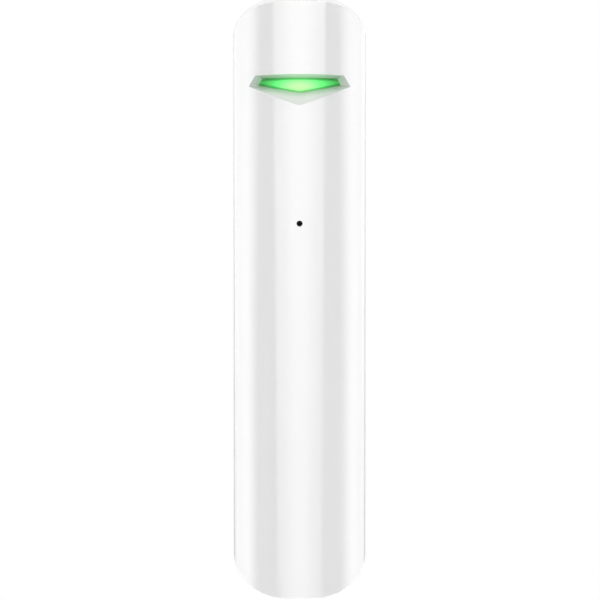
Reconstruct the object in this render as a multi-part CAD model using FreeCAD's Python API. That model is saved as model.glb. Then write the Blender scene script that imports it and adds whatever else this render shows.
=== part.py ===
import FreeCAD, Part
import math
import os

from FreeCAD import Vector

# Glass break sensor, slim battery-powered tube for a wall.
# Millimetres. +Z runs up the length, the front faces -Y, the wall is the plane y = 0,
# and the origin is the middle of the bracket's back face.

# Battery cell, which the housing is sized round
cell_radius = 8.4
cell_length = 34.2
cell_nub_radius = 3.0
cell_nub_height = 0.8
cell_edge = 0.6
cell_shoulder = 1.5       # rolled edge of the can round the washer
cell_washer_sink = 0.25
cell_side_gap = 0.4
cell_front_gap = 0.1
cell_rear_gap = 0.1

# Housing: a round front with straight sides, its ends cut front to back
wall = 1.2
end_flat = 4.0            # straight middle of each end
end_rise = 6.0            # height of the end's elliptical corners
end_room = 5.6            # from the bottom end up to the negative contact's plate
negative_room = 3.0       # spring between that plate and the cell
positive_room = 1.8       # between the cell's nub and the partition
partition_thickness = 1.2
board_room = 44.2         # from the partition up to the top end

# Wall bracket and the slide that unlocks the housing from it
bracket_thickness = 1.6
bracket_gap = 0.2         # between the bracket and what slides over it
bracket_inset = 0.25      # bracket outline inside the housing's outline
unlock_travel = 5.0
screw_slot_width = 3.2
screw_slot_length = 6.0
screw_slot_inset = 9.0    # from each end to the middle of a slot
countersink_spread = 1.15  # how far the countersink grows past the hole, each way
countersink_depth = 1.0

# Hooks of the bracket and ledges of the housing
upper_hook_drop = 21.0    # below the top end
lower_hook_rise = 17.0    # above the bottom end
hook_stem = 0.8
hook_length = 4.6
hook_foot_thickness = 1.2
hook_foot_reach = 0.85
hook_lead = 0.45          # bevel that lets the ledge slide behind the foot
hook_stop = 0.8
hook_side_gap = 0.25
hook_gap = 0.2
ledge_length = 5.0
ledge_thickness = 1.4
ledge_reach = 0.85

# Break-off tab that the tamper plunger feels
tab_width = 8.0
tab_below = 8.0
tab_above = 6.8
tab_slit = 0.6
tab_bridge = 1.0
tab_hole_diameter = 3.2
tab_hole_drop = 4.6       # from the plunger down to the tab's screw hole
ramp_width = 3.4
ramp_landing = 0.3        # level end of the ramp past the plunger

# Light recess, measured down from the top end: at the middle, and at its side corners
recess_depth = 2.15
recess_top_drop = 10.95
recess_top_sag = 0.36     # how much lower the top edge is at its corners
recess_tip_drop = 15.7
recess_side_drop = 13.06
window_top_drop = 11.63
window_top_sag = 0.36
window_tip_drop = 13.89
window_side_drop = 12.91
recess_corner_angle = 41.7
recess_side_angle = 49.9
window_side_angle = 52.4
recess_overlap_angle = 8.0
recess_wall = 0.95        # moulded wall behind the recess's floor
recess_boss_margin = 0.9
recess_over = 1.0

# Light guide and lamp
guide_clearance = 0.06
guide_flange = 0.9
guide_flange_lap = 0.7
guide_flange_lap_angle = 3.1
guide_stem_radius = 1.5
guide_stem_root = 0.2
lamp_drop = 12.6
led_width = 3.5
led_height = 2.8
led_body = 1.4
led_lens_radius = 1.15
led_lens = 0.3
guide_to_led = 0.2
shroud_wall = 0.6
shroud_room = 0.4
shroud_depth = 1.9

# Main board
board_ahead = 3.0         # board's front face in front of the round front's axis
board_thickness = 1.0
board_side_gap = 0.6
board_end_gap = 0.5
board_rise = 0.8          # above the partition
boss_gap = 0.2            # between a board hole and the boss in it

# Chassis that closes the board compartment, and its screws
chassis_thickness = 1.4
chassis_clearance = 0.15
chassis_rib = 1.4
chassis_rib_width = 0.8
chassis_rib_margin = 1.4
top_screw_drop = 4.8      # below the top end
low_screw_rise = 5.6      # above the partition
low_screw_x = 4.2
boss_radius = 1.9
boss_shoulder_radius = 2.4
screw_radius = 0.9
screw_pilot_clearance = 0.05
screw_length = 8.0
screw_head_radius = 1.7
screw_head_height = 0.8
screw_hole_clearance = 0.15
screw_recess = 0.45
screw_recess_width = 0.5
screw_recess_length = 2.1
screw_bottom_room = 1.0

# Microphone
microphone_rise = 10.78   # above the partition
sound_hole_diameter = 0.9
capsule_radius = 3.0
capsule_thickness = 2.7
capsule_port = 0.5
capsule_edge = 0.2
capsule_pin_radius = 0.25
capsule_pin_spacing = 2.54
boot_wall = 1.0
boot_front = 0.6
boot_hole_radius = 0.75
microphone_seat = 1.2     # thickness of the flat pad behind the sound hole's wall
mesh_radius = 2.0
mesh_thickness = 0.3

# Contacts of the cell
contact_thickness = 0.4
touch_gap = 0.05
positive_width = 8.0
positive_dome_radius = 2.4
positive_dome_tip_radius = 1.45
positive_tail_width = 3.0
positive_tail_ahead = 3.2  # in front of the housing's back plane
positive_tail_rise = 1.2   # above the board's lower edge
negative_plate_width = 12.0
negative_plate_depth = 10.0
spring_wire = 0.6
spring_turns = 3.0
spring_foot_radius = 4.2
spring_top_radius = 2.6
strip_width = 2.0
strip_thickness = 0.25
strip_wall_gap = 0.35
strip_ahead = 3.1         # in front of the housing's back plane
strip_foot_length = 2.0
strip_foot_rise = 0.3     # above the board's lower edge
strip_tab_lap = 1.0
rib_half_spacing = 4.3
rib_thickness = 1.0

# Switches on the back of the board
switch_side = 6.0
switch_height = 3.4
switch_bore_depth = 1.6
switch_edge = 0.3
switch_pin_width = 0.7
switch_pin_reach = 0.45
switch_pin_height = 0.6
switch_pin_spacing = 4.5
sliding_gap = 0.1

# Tamper plunger
plunger_radius = 1.2
plunger_travel = 1.2
plunger_tip_gap = 0.05
collar_radius = 2.1
collar_thickness = 0.6
guide_tube_radius = 2.2
guide_tube_length = 2.6
tamper_wire = 0.3
tamper_turns = 3.0

# Power button
power_rise = 11.6         # above the partition
button_radius = 2.5
button_travel = 0.5
button_recess = 0.15
button_edge = 0.4
button_flange_radius = 3.1
button_flange = 0.6
button_stem_radius = 1.5

# Electronics on the board
chip_side = 6.0
chip_height = 0.9
chip_pad_pitch = 0.65
chip_pad_width = 0.3
chip_pad_height = 0.2
chip_pad_reach = 0.06     # how far the pads stand out of the chip's sides
chip_mark_radius = 0.35   # round mark at the first pad
chip_mark_depth = 0.08
chip_mark_inset = 0.9
chip_drop = 11.4          # below the top end
amplifier_side = 3.0
amplifier_height = 1.0
amplifier_leads = 4       # on each side
amplifier_pitch = 0.65
lead_width = 0.3
lead_thickness = 0.18
lead_reach = 0.9
lead_foot = 0.45
lead_rise = 0.5
small_parts_x = 5.2
amplifier_above = 1.0     # above the plunger
crystal_width = 2.0
crystal_length = 3.2
crystal_height = 0.8
capacitor_width = 1.6
capacitor_length = 0.8
capacitor_height = 0.8
capacitor_pitch = 1.8
capacitor_row_below = 1.8      # lowest capacitors below the power button
capacitor_row_right = 5.4      # from the first to the last in each row
capacitor_row_left = 1.8
reservoir_radius = 2.1
reservoir_x = -5.3
reservoir_back_gap = 0.8
reservoir_foot = 0.5
reservoir_groove_height = 1.2
reservoir_groove_width = 0.4
reservoir_groove_depth = 0.3
shield_width = 12.0
shield_height = 2.2
shield_sheet = 0.25
shield_vent_radius = 0.5
shield_vent_pitch = 2.2
shield_corner_slit = 0.3
shield_gap = 1.9          # to the microphone's boot and to the lamp's shroud
antenna_x = -6.5
antenna_above = 5.6       # lower leg above the plunger
antenna_top_drop = 6.9    # below the top end
antenna_height = 4.0
antenna_width = 1.2
antenna_sheet = 0.3
antenna_leg_spacing = 2.6

# Outer sizes, worked out from the cell and what lies round it
inner_radius = cell_radius + cell_side_gap
radius = inner_radius + wall
depth = wall + cell_front_gap + 2 * cell_radius + cell_rear_gap + bracket_gap + bracket_thickness
length = (end_room + negative_room + cell_length + positive_room + partition_thickness
          + board_room)
half_length = length / 2

# Planes across the depth
axis_y = radius - depth
bracket_front_y = -bracket_thickness
back_y = bracket_front_y - bracket_gap
chassis_front_y = back_y - chassis_thickness
board_front_y = axis_y - board_ahead
board_back_y = board_front_y + board_thickness
switch_top_y = board_back_y + switch_height
cell_axis_y = wall + cell_front_gap + cell_radius - depth
flat_seat_y = axis_y - inner_radius + microphone_seat
capsule_front_y = flat_seat_y + boot_front
hook_foot_back_y = back_y - ledge_thickness - hook_gap
hook_front_y = hook_foot_back_y - hook_foot_thickness
tail_y = back_y - positive_tail_ahead
strip_back_y = back_y - strip_ahead
led_top_y = board_front_y - led_body - led_lens
collar_back_y = back_y - guide_tube_length - sliding_gap - plunger_travel

# Heights along the length
negative_plate_z = -half_length + end_room
cell_bottom_z = negative_plate_z + negative_room
cell_top_z = cell_bottom_z + cell_length
partition_low_z = cell_top_z + positive_room
partition_top_z = partition_low_z + partition_thickness
board_low_z = partition_top_z + board_rise
microphone_z = partition_top_z + microphone_rise
power_z = partition_top_z + power_rise
chip_z = half_length - chip_drop
plunger_z = (power_z + chip_z) / 2
lamp_z = half_length - lamp_drop
hook_heights = (half_length - upper_hook_drop, lower_hook_rise - half_length)
chassis_screw_places = ((0, half_length - top_screw_drop),
                        (low_screw_x, partition_top_z + low_screw_rise),
                        (-low_screw_x, partition_top_z + low_screw_rise))

# Places across the width, and radii of the light recess
board_half_width = math.sqrt(inner_radius ** 2 - board_ahead ** 2) - board_side_gap
hook_outer_x = inner_radius - ledge_reach - hook_side_gap
hook_inner_x = hook_outer_x - hook_stem
strip_outer_x = inner_radius - strip_wall_gap
recess_floor_radius = radius - recess_depth
recess_boss_radius = recess_floor_radius - recess_wall
guide_inner_radius = recess_boss_radius - guide_flange
recess_last_angle = window_side_angle + recess_overlap_angle


def box(x, y, z):
    """Box from three (low, high) pairs."""
    return Part.makeBox(x[1] - x[0], y[1] - y[0], z[1] - z[0], Vector(x[0], y[0], z[0]))


def rod_y(r, x, z, low_y, high_y):
    """Round rod along Y at (x, z)."""
    return Part.makeCylinder(r, high_y - low_y, Vector(x, low_y, z), Vector(0, 1, 0))


def rod_z(r, x, y, low_z, high_z):
    """Round rod along Z at (x, y)."""
    return Part.makeCylinder(r, high_z - low_z, Vector(x, y, low_z))


def cone_y(low_r, high_r, x, z, low_y, high_y):
    """Cone along Y at (x, z)."""
    return Part.makeCone(low_r, high_r, high_y - low_y, Vector(x, low_y, z), Vector(0, 1, 0))


def fused(shapes):
    """One clean solid from several that touch."""
    return shapes[0].fuse(list(shapes[1:])).removeSplitter()


def mirrored(shape):
    return shape.mirror(Vector(0, 0, 0), Vector(1, 0, 0))


def both_sides(shape):
    """A right-hand shape and its left-hand twin."""
    return [shape, mirrored(shape)]


def quarter_ellipse(start, corner, end):
    """Exact quarter ellipse that leaves start and reaches end along the sides of corner."""
    curve = Part.BezierCurve()
    curve.setPoles([start, corner, end])
    curve.setWeight(2, math.sqrt(0.5))
    return curve.toShape()


def front_outline(inset, low_y, high_y):
    """Prism of the sensor's outline seen from the front, drawn inside the outer one by inset."""
    half_w = radius - inset
    half_l = half_length - inset
    flat = end_flat / 2
    shoulder = half_length - end_rise
    top = [Vector(half_w, low_y, shoulder), Vector(half_w, low_y, half_l), Vector(flat, low_y, half_l)]
    low = [Vector(p.x, low_y, -p.z) for p in top]
    top_left = [Vector(-p.x, low_y, p.z) for p in top]
    low_left = [Vector(-p.x, low_y, -p.z) for p in top]
    edges = [
        quarter_ellipse(*top),
        Part.makeLine(top[2], top_left[2]),
        quarter_ellipse(*reversed(top_left)),
        Part.makeLine(top_left[0], low_left[0]),
        quarter_ellipse(*low_left),
        Part.makeLine(low_left[2], low[2]),
        quarter_ellipse(*reversed(low)),
        Part.makeLine(low[0], top[0]),
    ]
    return Part.Face(Part.Wire(edges)).extrude(Vector(0, high_y - low_y, 0))


def tube_form(inset, rear_y):
    """The round-fronted form, drawn inside the outer surface by inset, back to rear_y."""
    r = radius - inset
    right, left = Vector(r, axis_y, -half_length), Vector(-r, axis_y, -half_length)
    rear_right, rear_left = Vector(r, rear_y, -half_length), Vector(-r, rear_y, -half_length)
    front = Vector(0, axis_y - r, -half_length)
    section = Part.Wire([
        Part.Arc(right, front, left).toShape(),
        Part.makeLine(left, rear_left),
        Part.makeLine(rear_left, rear_right),
        Part.makeLine(rear_right, right),
    ])
    prism = Part.Face(section).extrude(Vector(0, 0, length))
    return prism.common(front_outline(inset, -depth - 1, rear_y + 1))


def on_round(r, angle, z):
    """Point at radius r from the round front's axis, angle degrees right of the front."""
    a = math.radians(angle)
    return Vector(r * math.sin(a), axis_y - r * math.cos(a), z)


def sine(angle):
    return math.sin(math.radians(angle))


def recess_levels(angle):
    """Heights of the recess's edges at an angle: outer top, floor top, floor low, outer low."""
    across = sine(angle) / sine(recess_side_angle)
    across_window = sine(angle) / sine(window_side_angle)
    to_corner = sine(angle) / sine(recess_corner_angle)
    outer_top = recess_top_drop + recess_top_sag * to_corner ** 2
    floor_top = window_top_drop + window_top_sag * across_window ** 2
    floor_low = window_tip_drop + (window_side_drop - window_tip_drop) * across_window
    outer_low = recess_tip_drop + (recess_side_drop - recess_tip_drop) * across
    return [half_length - drop for drop in (outer_top, floor_top, floor_low, outer_low)]


def radial_loft(section, last_angle, steps=5):
    """Right half of a form whose radial sections follow a function of the angle."""
    wires = []
    for i in range(steps):
        points = section(last_angle * i / (steps - 1))
        wires.append(Part.makePolygon(points + points[:1]))
    return Part.makeLoft(wires, True, False)


def recess_section(angle):
    """Radial section of the recess, from outside the round front in through the window."""
    outer_top, floor_top, floor_low, outer_low = recess_levels(angle)
    reach = recess_over / recess_depth
    inner = recess_boss_radius - recess_over
    return [
        on_round(radius + recess_over, angle, outer_top + (outer_top - floor_top) * reach),
        on_round(recess_floor_radius, angle, floor_top),
        on_round(inner, angle, floor_top),
        on_round(inner, angle, floor_low),
        on_round(recess_floor_radius, angle, floor_low),
        on_round(radius + recess_over, angle, outer_low - (floor_low - outer_low) * reach),
    ]


def ring_section(outer_r, inner_r, lap):
    """Function for the radial section of a ring that is taller than the window by lap, each way."""
    def section(angle):
        top, low = recess_levels(angle)[1] + lap, recess_levels(angle)[2] - lap
        return [on_round(outer_r, angle, top), on_round(inner_r, angle, top),
                on_round(inner_r, angle, low), on_round(outer_r, angle, low)]
    return section


def inside_end_facet(shape, clearance):
    """What lies left of the recess's slanted right end facet, held off it by clearance."""
    top = on_round(radius, recess_corner_angle, half_length - recess_top_drop - recess_top_sag)
    low = on_round(radius, recess_side_angle, half_length - recess_side_drop)
    deep = on_round(recess_floor_radius, window_side_angle, half_length - window_side_drop)
    normal = (low - top).cross(deep - top).normalize()
    if normal.x < 0:
        normal = -normal
    slab = Part.makeBox(length, length, length, Vector(-half_length, -half_length, -length))
    turn = FreeCAD.Rotation(Vector(0, 0, 1), normal)
    slab.Placement = FreeCAD.Placement(top - normal * clearance, turn).multiply(slab.Placement)
    return shape.common(slab)


def light_recess():
    """The hollow cut for the light: arched top, slanted ends and a V-shaped lower ramp."""
    right = inside_end_facet(radial_loft(recess_section, recess_last_angle), 0)
    return fused(both_sides(right))


def light_guide():
    """Clear window that fills the recess's floor, seated from inside by its flange."""
    flange_outer = recess_boss_radius - guide_clearance
    plug_inner = (flange_outer + guide_inner_radius) / 2
    plug = radial_loft(ring_section(recess_floor_radius, plug_inner, -guide_clearance), recess_last_angle)
    plug = inside_end_facet(plug, guide_clearance)
    flange = radial_loft(ring_section(flange_outer, guide_inner_radius, guide_flange_lap),
                         window_side_angle + guide_flange_lap_angle)
    stem = rod_y(guide_stem_radius, 0, lamp_z, axis_y - guide_inner_radius - guide_stem_root,
                 led_top_y - guide_to_led)
    return fused(both_sides(plug) + both_sides(flange) + [stem])


def status_led():
    """Surface-mounted lamp with a small round lens."""
    body = box((-led_width / 2, led_width / 2), (board_front_y - led_body, board_front_y),
               (lamp_z - led_height / 2, lamp_z + led_height / 2))
    lens = rod_y(led_lens_radius, 0, lamp_z, board_front_y - led_body - led_lens, board_front_y)
    return fused([body, lens])


def light_shroud():
    """Dark frame on the board that keeps the lamp's light out of the housing."""
    half_x = led_width / 2 + shroud_room
    half_z = led_height / 2 + shroud_room
    y = (board_front_y - shroud_depth, board_front_y)
    outside = box((-half_x - shroud_wall, half_x + shroud_wall), y,
                  (lamp_z - half_z - shroud_wall, lamp_z + half_z + shroud_wall))
    inside = box((-half_x, half_x), (y[0] - 1, y[1] + 1), (lamp_z - half_z, lamp_z + half_z))
    return outside.cut(inside)


def screw_boss(x, z):
    """Boss from the front wall to the chassis, with a shoulder that carries the board."""
    shank = rod_y(boss_radius, x, z, -depth, chassis_front_y)
    shoulder = rod_y(boss_shoulder_radius, x, z, -depth, board_front_y)
    return shank.fuse(shoulder).common(tube_form(wall / 2, back_y))


def pilot_hole(x, z):
    bottom = back_y - screw_length - screw_bottom_room
    return rod_y(screw_radius + screw_pilot_clearance, x, z, bottom, back_y)


def housing_ledge(height):
    """Right-hand ledge inside the back edge that a hook's foot holds."""
    return box((inner_radius - ledge_reach, inner_radius + wall / 2),
               (back_y - ledge_thickness, back_y),
               (height - ledge_length / 2, height + ledge_length / 2))


def partition():
    """Wall between the battery bay and the board, notched for both contact strips."""
    slab = box((-radius, radius), (-depth, chassis_front_y),
               (partition_low_z, partition_top_z))
    slab = slab.common(tube_form(wall / 2, back_y))
    z = (partition_low_z - 1, partition_top_z + 1)
    side_notch = box((strip_outer_x - strip_thickness - strip_wall_gap, inner_radius),
                     (strip_back_y - strip_width - strip_wall_gap, chassis_front_y + 1), z)
    tail_notch = box((-positive_tail_width / 2 - strip_wall_gap, positive_tail_width / 2 + strip_wall_gap),
                     (tail_y - contact_thickness - strip_wall_gap, chassis_front_y + 1), z)
    return slab.cut([side_notch, tail_notch])


def contact_ribs():
    """Two ribs at the bottom end that carry the negative contact's plate."""
    ribs = [box((x - rib_thickness / 2, x + rib_thickness / 2),
                (cell_axis_y - negative_plate_depth / 2, cell_axis_y + negative_plate_depth / 2),
                (-half_length, negative_plate_z - contact_thickness))
            for x in (-rib_half_spacing, rib_half_spacing)]
    return [rib.common(tube_form(wall / 2, back_y)) for rib in ribs]


def front_housing():
    """Moulded housing: U-shaped shell with closed ends, open at the back."""
    cavity = tube_form(wall, back_y + 1)
    shell = tube_form(0, back_y).cut(cavity)
    boss_z = (half_length - recess_tip_drop - guide_clearance,
              half_length - recess_top_drop + recess_boss_margin)
    recess_boss = rod_z(inner_radius + wall / 4, 0, axis_y, *boss_z)
    recess_boss = recess_boss.cut(rod_z(recess_boss_radius, 0, axis_y, *boss_z))
    front_part = box((-radius, radius), (-depth, board_front_y - board_end_gap), boss_z)
    recess_boss = recess_boss.common(front_part)
    seat = rod_y(capsule_radius + boot_wall, 0, microphone_z, -depth + wall / 2, flat_seat_y)
    seat = seat.common(tube_form(wall / 2, back_y))
    added = [recess_boss, seat, partition()] + contact_ribs()
    for x, z in chassis_screw_places:
        added.append(screw_boss(x, z))
    for height in hook_heights:
        added += both_sides(housing_ledge(height))
    sound_hole = rod_y(sound_hole_diameter / 2, 0, microphone_z, -depth - 1, flat_seat_y + 1)
    mesh_seat = rod_y(mesh_radius + touch_gap, 0, microphone_z, flat_seat_y - mesh_thickness, flat_seat_y)
    removed = [light_recess(), sound_hole, mesh_seat] + [pilot_hole(x, z) for x, z in chassis_screw_places]
    return fused([shell] + added).cut(removed)


def hook_sweep(height):
    """Right-hand space that a hook takes, seen from the housing, over the whole slide."""
    low = height - ledge_length / 2 - touch_gap - hook_stop - unlock_travel - bracket_gap
    high = height + ledge_length / 2 + bracket_gap
    return box((hook_inner_x - hook_gap, radius), (chassis_front_y - chassis_rib, back_y + 1), (low, high))


def rear_chassis():
    """Plate that closes the board compartment, with guides for the plunger and the button."""
    plate = tube_form(wall + chassis_clearance, back_y)
    plate = plate.common(box((-radius, radius), (chassis_front_y, back_y), (partition_low_z, half_length)))
    solids = [plate]
    rib_outer = hook_inner_x - hook_gap - touch_gap
    rib = box((rib_outer - chassis_rib_width, rib_outer), (chassis_front_y - chassis_rib, chassis_front_y),
              (power_z - switch_side / 2, chip_z + chip_side / 2 + chassis_rib_margin))
    solids += both_sides(rib)
    solids.append(rod_y(guide_tube_radius, 0, plunger_z, back_y - guide_tube_length, back_y))
    body = fused(solids)
    cuts = [rod_y(plunger_radius + sliding_gap, 0, plunger_z, -depth, 0),
            rod_y(button_radius + sliding_gap, 0, power_z, -depth, 0)]
    for x, z in chassis_screw_places:
        cuts.append(rod_y(screw_radius + screw_hole_clearance, x, z, -depth, 0))
        cuts.append(cone_y(screw_radius + screw_hole_clearance, screw_head_radius + screw_hole_clearance,
                           x, z, back_y - screw_head_height, back_y))
    for height in hook_heights:
        cuts += both_sides(hook_sweep(height))
    return body.cut(cuts)


def chassis_screw(x, z):
    """Countersunk screw with a cross recess."""
    head = cone_y(screw_radius, screw_head_radius, x, z, back_y - screw_head_height, back_y - touch_gap)
    shank = rod_y(screw_radius, x, z, back_y - screw_length, back_y - screw_head_height + touch_gap)
    half = screw_recess_length / 2
    arm = screw_recess_width / 2
    y = (back_y - touch_gap - screw_recess, back_y + 1)
    cross = [box((x - half, x + half), y, (z - arm, z + arm)),
             box((x - arm, x + arm), y, (z - half, z + half))]
    return fused([head, shank]).cut(cross)


def main_board():
    """Circuit board, cut to the cavity's outline and holed for the bosses."""
    outline = front_outline(wall + board_end_gap, board_front_y, board_back_y)
    board = outline.common(box((-board_half_width, board_half_width), (board_front_y, board_back_y),
                               (board_low_z, half_length)))
    holes = [rod_y(boss_radius + boss_gap, x, z, -depth, 0) for x, z in chassis_screw_places]
    return board.cut(holes)


def microphone_capsule():
    """Round capsule with a sound port in front and two pins to the board."""
    rear_y = capsule_front_y + capsule_thickness
    body = rod_y(capsule_radius, 0, microphone_z, capsule_front_y, rear_y)
    rims = [e for e in body.Edges if e.Length > math.pi * capsule_radius and len(e.Vertexes) == 1]
    body = body.makeChamfer(capsule_edge, rims)
    port = rod_y(boot_hole_radius, 0, microphone_z, flat_seat_y, capsule_front_y + capsule_port)
    pins = [rod_y(capsule_pin_radius, side * capsule_pin_spacing / 2, microphone_z, rear_y, board_front_y)
            for side in (-1, 1)]
    return fused([body] + pins).cut(port)


def microphone_boot():
    """Rubber cup that seals the capsule against the housing's seat."""
    cup = rod_y(capsule_radius + boot_wall, 0, microphone_z, flat_seat_y, board_front_y)
    room = rod_y(capsule_radius, 0, microphone_z, flat_seat_y + boot_front, board_front_y + 1)
    hole = rod_y(boot_hole_radius, 0, microphone_z, flat_seat_y - 1, flat_seat_y + boot_front + 1)
    return cup.cut([room, hole])


def microphone_mesh():
    """Dust mesh disc behind the sound hole."""
    return rod_y(mesh_radius, 0, microphone_z, flat_seat_y - mesh_thickness, flat_seat_y)


def battery_cell():
    """Lithium cell with its positive nub up, inside the can's rolled edge."""
    can_top = cell_top_z - cell_nub_height
    can = rod_z(cell_radius, 0, cell_axis_y, cell_bottom_z, can_top)
    rims = [e for e in can.Edges if abs(e.Length - 2 * math.pi * cell_radius) < 0.01]
    can = can.makeFillet(cell_edge, rims)
    washer = rod_z(cell_radius - cell_shoulder, 0, cell_axis_y, can_top - cell_washer_sink, can_top)
    can = can.cut(washer)
    nub = rod_z(cell_nub_radius, 0, cell_axis_y, can_top - cell_edge, cell_top_z)
    return fused([can, nub])


def positive_contact():
    """Pressed sheet: a plate with a dome on the nub and a tail up to the board."""
    top = partition_low_z
    low = top - contact_thickness
    half = positive_width / 2
    plate = box((-half, half), (cell_axis_y - half, tail_y), (low, top))
    dome_height = positive_room - contact_thickness - touch_gap
    centre_low, centre_top = Vector(0, cell_axis_y, low), Vector(0, cell_axis_y, top)
    down = Vector(0, 0, -1)
    dome = Part.makeCone(positive_dome_radius, positive_dome_tip_radius, dome_height, centre_low, down)
    hollow = Part.makeCone(positive_dome_radius - contact_thickness,
                           positive_dome_tip_radius - contact_thickness, dome_height, centre_top, down)
    tail_half = positive_tail_width / 2
    tail_top = board_low_z + positive_tail_rise
    riser = box((-tail_half, tail_half), (tail_y - contact_thickness, tail_y), (low, tail_top))
    arm = box((-tail_half, tail_half), (board_back_y, tail_y), (tail_top - contact_thickness, tail_top))
    return fused([plate, dome, riser, arm]).cut(hollow)


def negative_contact():
    """Bent strip: a plate under the spring, a leg up the side wall and a foot on the board."""
    plate_top = negative_plate_z
    plate_low = plate_top - contact_thickness
    half = negative_plate_width / 2
    y = (cell_axis_y - negative_plate_depth / 2, cell_axis_y + negative_plate_depth / 2)
    inner_x = strip_outer_x - strip_thickness
    strip_y = (strip_back_y - strip_width, strip_back_y)
    foot_low = board_low_z + strip_foot_rise
    foot_z = (foot_low, foot_low + strip_width)
    plate = box((-half, half), y, (plate_low, plate_top))
    tab = box((half - strip_tab_lap, strip_outer_x), strip_y, (plate_low, plate_top))
    leg = box((inner_x, strip_outer_x), strip_y, (plate_low, foot_z[1]))
    arm = box((inner_x, strip_outer_x), (board_back_y, strip_back_y), foot_z)
    foot = box((strip_outer_x - strip_foot_length, strip_outer_x),
               (board_back_y, board_back_y + strip_thickness), foot_z)
    return fused([plate, tab, leg, arm, foot])


def coil(foot_radius, top_radius, height, turns, wire_diameter):
    """Compression coil of round wire standing on z = 0, sized over its wire."""
    rise = height - wire_diameter
    slope = math.degrees(math.atan2(top_radius - foot_radius, rise))
    path = Part.makeHelix(rise / turns, rise, foot_radius, slope)
    section = Part.Wire(Part.makeCircle(wire_diameter / 2, Vector(foot_radius, 0, 0), Vector(0, 1, 0)))
    spring = Part.Wire(path).makePipeShell([section], True, True)
    spring.translate(Vector(0, 0, wire_diameter / 2))
    return spring


def battery_spring():
    """Conical spring between the negative plate and the cell."""
    spring = coil(spring_foot_radius, spring_top_radius, negative_room - touch_gap, spring_turns,
                  spring_wire)
    spring.translate(Vector(0, cell_axis_y, negative_plate_z))
    return spring


def switch_body(z):
    """Square switch on four terminals, with a bore for the pin that works it."""
    half = switch_side / 2
    body = box((-half, half), (board_back_y, switch_top_y), (z - half, z + half))
    top_edges = [e for e in body.Edges if abs(e.CenterOfMass.y - switch_top_y) < touch_gap]
    body = body.makeChamfer(switch_edge, top_edges)
    reach = half + switch_pin_reach
    for side in (-1, 1):
        x = side * switch_pin_spacing / 2
        body = body.fuse(box((x - switch_pin_width / 2, x + switch_pin_width / 2),
                             (board_back_y, board_back_y + switch_pin_height), (z - reach, z + reach)))
    body = body.removeSplitter()
    bore_y = (switch_top_y - switch_bore_depth, switch_top_y + 1)
    return body.cut(rod_y(button_stem_radius + sliding_gap, 0, z, *bore_y))


def tamper_plunger():
    """Pin with a rounded tip that rests on the bracket, and a collar that its spring pushes."""
    tip_y = bracket_front_y - plunger_tip_gap
    foot_y = switch_top_y - switch_bore_depth + sliding_gap
    pin = rod_y(plunger_radius, 0, plunger_z, foot_y, tip_y - plunger_radius)
    tip = Part.makeSphere(plunger_radius, Vector(0, tip_y - plunger_radius, plunger_z))
    collar = rod_y(collar_radius, 0, plunger_z, collar_back_y - collar_thickness, collar_back_y)
    return fused([pin, tip, collar])


def tamper_spring():
    """Coil round the plunger, from the switch body to the collar."""
    low = switch_top_y + touch_gap
    high = collar_back_y - collar_thickness - touch_gap
    coil_radius = plunger_radius + sliding_gap + tamper_wire
    spring = coil(coil_radius, coil_radius, high - low, tamper_turns, tamper_wire)
    spring.rotate(Vector(0, 0, 0), Vector(1, 0, 0), -90)
    spring.translate(Vector(0, low, plunger_z))
    return spring


def power_button():
    """Round button with a flange behind the chassis and a stem into its switch."""
    cap_back = back_y - button_recess
    flange_back = chassis_front_y - sliding_gap
    foot_y = switch_top_y - switch_bore_depth + button_travel + sliding_gap
    cap = rod_y(button_radius, 0, power_z, flange_back, cap_back)
    rim = [e for e in cap.Edges if abs(e.CenterOfMass.y - cap_back) < touch_gap]
    cap = cap.makeFillet(button_edge, rim)
    flange = rod_y(button_flange_radius, 0, power_z, flange_back - button_flange, flange_back)
    stem = rod_y(button_stem_radius, 0, power_z, foot_y, flange_back)
    return fused([cap, flange, stem])


def rear_block(side_x, height, side_z, x, z):
    """Low block soldered to the back of the board at (x, z)."""
    return box((x - side_x / 2, x + side_x / 2), (board_back_y, board_back_y + height),
               (z - side_z / 2, z + side_z / 2))


def microcontroller():
    """Flat square chip with a row of pads along each side and a mark at the first one."""
    body = rear_block(chip_side, chip_height, chip_side, 0, chip_z)
    half = chip_side / 2
    pads_per_side = int((chip_side - 2 * chip_pad_width) / chip_pad_pitch)
    long_side = chip_side + 2 * chip_pad_reach
    pads = []
    for i in range(pads_per_side):
        along = (i - (pads_per_side - 1) / 2) * chip_pad_pitch
        pads.append(rear_block(chip_pad_width, chip_pad_height, long_side, along, chip_z))
        pads.append(rear_block(long_side, chip_pad_height, chip_pad_width, 0, chip_z + along))
    top_y = board_back_y + chip_height
    mark = rod_y(chip_mark_radius, half - chip_mark_inset, chip_z + half - chip_mark_inset,
                 top_y - chip_mark_depth, top_y + 1)
    return fused([body] + pads).cut(mark)


def gull_lead(x, edge_z, side):
    """Lead bent from an amplifier's side at edge_z down to the board, side -1 or 1 along Z."""
    low, high = board_back_y, board_back_y + lead_rise
    outer, knee = side * lead_reach, side * (lead_reach - lead_foot)
    profile = [(high + lead_thickness, 0), (high + lead_thickness, knee + side * lead_thickness),
               (low + lead_thickness, knee + side * lead_thickness), (low + lead_thickness, outer),
               (low, outer), (low, knee), (high, knee), (high, 0)]
    points = [Vector(x - lead_width / 2, y, edge_z + z) for y, z in profile]
    return Part.Face(Part.makePolygon(points + points[:1])).extrude(Vector(lead_width, 0, 0))


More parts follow.
